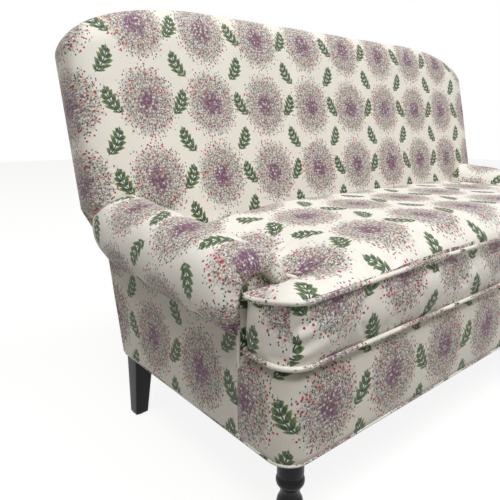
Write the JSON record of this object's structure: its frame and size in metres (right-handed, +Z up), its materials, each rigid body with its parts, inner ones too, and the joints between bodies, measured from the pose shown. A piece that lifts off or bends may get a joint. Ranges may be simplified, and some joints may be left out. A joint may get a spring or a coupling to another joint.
{
  "type": "sofa",
  "caption": "English roll arm sofa with raked round-cornered back, rolled arms, loose T-shaped bench cushion, turned front legs and square tapered back legs",
  "frame": {"origin": "on the floor, below the middle of the sofa's bounding box", "axes": "+Z up; the sofa faces -Y; +X along its length, to the right in the picture"},
  "size_m": [1.756, 0.823, 1.033],
  "materials": {
    "printed_linen": "woven linen with a small floral print, slight sheen",
    "piping_cord": "self-covered cord in the same printed linen",
    "deck_cloth": "plain woven platform cloth",
    "lining_cloth": "thin black non-woven cloth",
    "jute_webbing": "coarse jute webbing",
    "beech": "plain sawn and planed beech",
    "ebonised_wood": "ebonised, semi-gloss lacquer",
    "zinc_steel": "zinc plated",
    "glide_nylon": "moulded nylon"
  },
  "bodies": {
    "sofa": {"back_centre_upright": "beech", "back_seat_rail": "beech", "back_strap_1": "jute_webbing", "back_strap_2": "jute_webbing", "back_strap_3": "jute_webbing", "back_stuffing_rail": "beech", "back_top_rail": "beech", "centre_seat_brace": "beech", "cross_strap_1": "jute_webbing", "cross_strap_2": "jute_webbing", "dust_cover": "lining_cloth", "front_border": "printed_linen", "front_seat_rail": "beech", "hem_piping": "piping_cord", "inside_back": "printed_linen", "left_arm_facing": "printed_linen", "left_arm_post": "beech", "left_arm_roll": "printed_linen", "left_arm_stuffing_rail": "beech", "left_arm_top_rail": "beech", "left_back_corner_block": "beech", "left_back_leg": "ebonised_wood", "left_back_post": "beech", "left_back_wing": "beech", "left_facing_piping": "piping_cord", "left_front_corner_block": "beech", "left_front_leg": "ebonised_wood", "left_inside_arm": "printed_linen", "left_outside_arm": "printed_linen", "left_seat_rail": "beech", "leg_bolts": "zinc_steel", "leg_glides": "glide_nylon", "outside_back": "printed_linen", "right_arm_facing": "printed_linen", "right_arm_post": "beech", "right_arm_roll": "printed_linen", "right_arm_stuffing_rail": "beech", "right_arm_top_rail": "beech", "right_back_corner_block": "beech", "right_back_leg": "ebonised_wood", "right_back_post": "beech", "right_back_wing": "beech", "right_facing_piping": "piping_cord", "right_front_corner_block": "beech", "right_front_leg": "ebonised_wood", "right_inside_arm": "printed_linen", "right_outside_arm": "printed_linen", "right_seat_rail": "beech", "seat_deck": "deck_cloth", "seat_strap_1": "jute_webbing", "seat_strap_2": "jute_webbing", "seat_strap_3": "jute_webbing", "seat_strap_4": "jute_webbing", "seat_strap_5": "jute_webbing", "seat_strap_6": "jute_webbing", "seat_strap_7": "jute_webbing"},
    "cushion": {"seat_cushion": "printed_linen", "cushion_top_piping": "piping_cord", "cushion_bottom_piping": "piping_cord"}
  },
  "joints": [
    {"name": "cushion_slide", "type": "slide", "parent": "sofa", "child": "cushion", "axis": [0, -1, 0], "range_m": [0, 0.6]}
  ]
}
